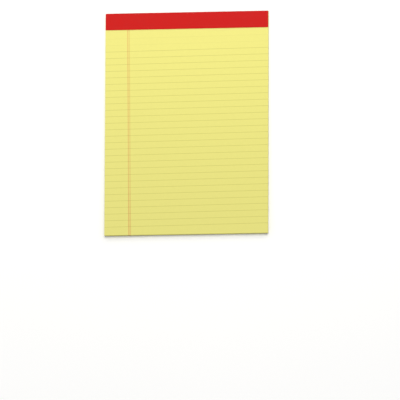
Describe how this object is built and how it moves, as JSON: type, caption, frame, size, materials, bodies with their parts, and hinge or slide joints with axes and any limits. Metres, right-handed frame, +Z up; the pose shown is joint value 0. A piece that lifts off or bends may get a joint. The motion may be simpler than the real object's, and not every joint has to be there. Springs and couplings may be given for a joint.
{
  "type": "writing pad",
  "caption": "Ruled yellow writing pad: perforated sheets on a board back, stapled at the head under a folded binding tape and a red headband.",
  "frame": {"origin": "centre of the footprint, on the surface that the pad lies on", "axes": "X across the width, +Y towards the bound head, +Z up out of the ruled face"},
  "size_m": [0.216, 0.2986, 0.0055],
  "materials": {
    "sheets": "uncoated canary-yellow writing paper with faint grey rules and a double red margin rule",
    "board": "plain grey-brown board",
    "tape": "dark grey-brown binding paper with a fine grain",
    "band": "red printed paper with a satin face",
    "wire": "drawn steel wire"
  },
  "bodies": {
    "root": {"sheet_block": "sheets", "chipboard_back": "board", "binding_tape": "tape", "headband": "band", "staples": "wire"}
  },
  "joints": []
}
